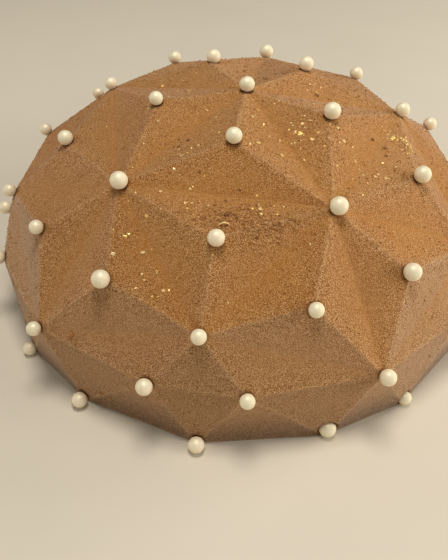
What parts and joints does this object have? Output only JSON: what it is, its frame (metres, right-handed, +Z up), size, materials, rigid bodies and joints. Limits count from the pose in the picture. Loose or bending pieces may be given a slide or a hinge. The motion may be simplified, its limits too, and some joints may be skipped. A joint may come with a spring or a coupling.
{
  "type": "entremet cake",
  "caption": "Whole faceted mousse dome cake in a cocoa-brown velvet coat, with sugar pearls on its facet corners and flecks of gold leaf; stands on a flat foot.",
  "frame": {"origin": "middle of the flat foot, on the dome's axis", "axes": "+Z up along the dome's axis, -Y towards the front corner of the foot, +X to the right seen from the front"},
  "size_m": [0.1884, 0.1924, 0.0808],
  "materials": {
    "velvet_coat": "fine matt velvet spray of cocoa butter",
    "sugar_pearl": "pearl lustre",
    "gold_leaf": "bright crumpled leaf",
    "cocoa_crumb": "rough and matt"
  },
  "bodies": {
    "root": {"cake": "velvet_coat", "pearl_apex_1": "sugar_pearl", "pearl_crownTip_1": "sugar_pearl", "pearl_crownTip_2": "sugar_pearl", "pearl_crownTip_3": "sugar_pearl", "pearl_crownTip_4": "sugar_pearl", "pearl_crownTip_5": "sugar_pearl", "pearl_crownHub_1": "sugar_pearl", "pearl_crownHub_2": "sugar_pearl", "pearl_crownHub_3": "sugar_pearl", "pearl_crownHub_4": "sugar_pearl", "pearl_crownHub_5": "sugar_pearl", "pearl_upperTip_1": "sugar_pearl", "pearl_upperTip_2": "sugar_pearl", "pearl_upperTip_3": "sugar_pearl", "pearl_upperTip_4": "sugar_pearl", "pearl_upperTip_5": "sugar_pearl", "pearl_sideTip_1": "sugar_pearl", "pearl_sideTip_2": "sugar_pearl", "pearl_sideTip_3": "sugar_pearl", "pearl_sideTip_4": "sugar_pearl", "pearl_sideTip_5": "sugar_pearl", "pearl_sideTip_6": "sugar_pearl", "pearl_sideTip_7": "sugar_pearl", "pearl_sideTip_8": "sugar_pearl", "pearl_sideTip_9": "sugar_pearl", "pearl_sideTip_10": "sugar_pearl", "pearl_sideHub_1": "sugar_pearl", "pearl_sideHub_2": "sugar_pearl", "pearl_sideHub_3": "sugar_pearl", "pearl_sideHub_4": "sugar_pearl", "pearl_sideHub_5": "sugar_pearl", "pearl_shoulderHub_1": "sugar_pearl", "pearl_shoulderHub_2": "sugar_pearl", "pearl_shoulderHub_3": "sugar_pearl", "pearl_shoulderHub_4": "sugar_pearl", "pearl_shoulderHub_5": "sugar_pearl", "pearl_shoulderTip_1": "sugar_pearl", "pearl_shoulderTip_2": "sugar_pearl", "pearl_shoulderTip_3": "sugar_pearl", "pearl_shoulderTip_4": "sugar_pearl", "pearl_shoulderTip_5": "sugar_pearl", "pearl_shoulderTip_6": "sugar_pearl", "pearl_shoulderTip_7": "sugar_pearl", "pearl_shoulderTip_8": "sugar_pearl", "pearl_shoulderTip_9": "sugar_pearl", "pearl_shoulderTip_10": "sugar_pearl", "pearl_footPoint_1": "sugar_pearl", "pearl_footPoint_2": "sugar_pearl", "pearl_footPoint_3": "sugar_pearl", "pearl_footPoint_4": "sugar_pearl", "pearl_footPoint_5": "sugar_pearl", "pearl_footCorner_1": "sugar_pearl", "pearl_footCorner_2": "sugar_pearl", "pearl_footCorner_3": "sugar_pearl", "pearl_footCorner_4": "sugar_pearl", "pearl_footCorner_7": "sugar_pearl", "pearl_footCorner_8": "sugar_pearl", "pearl_footCorner_9": "sugar_pearl", "pearl_footCorner_10": "sugar_pearl"}
  },
  "joints": []
}
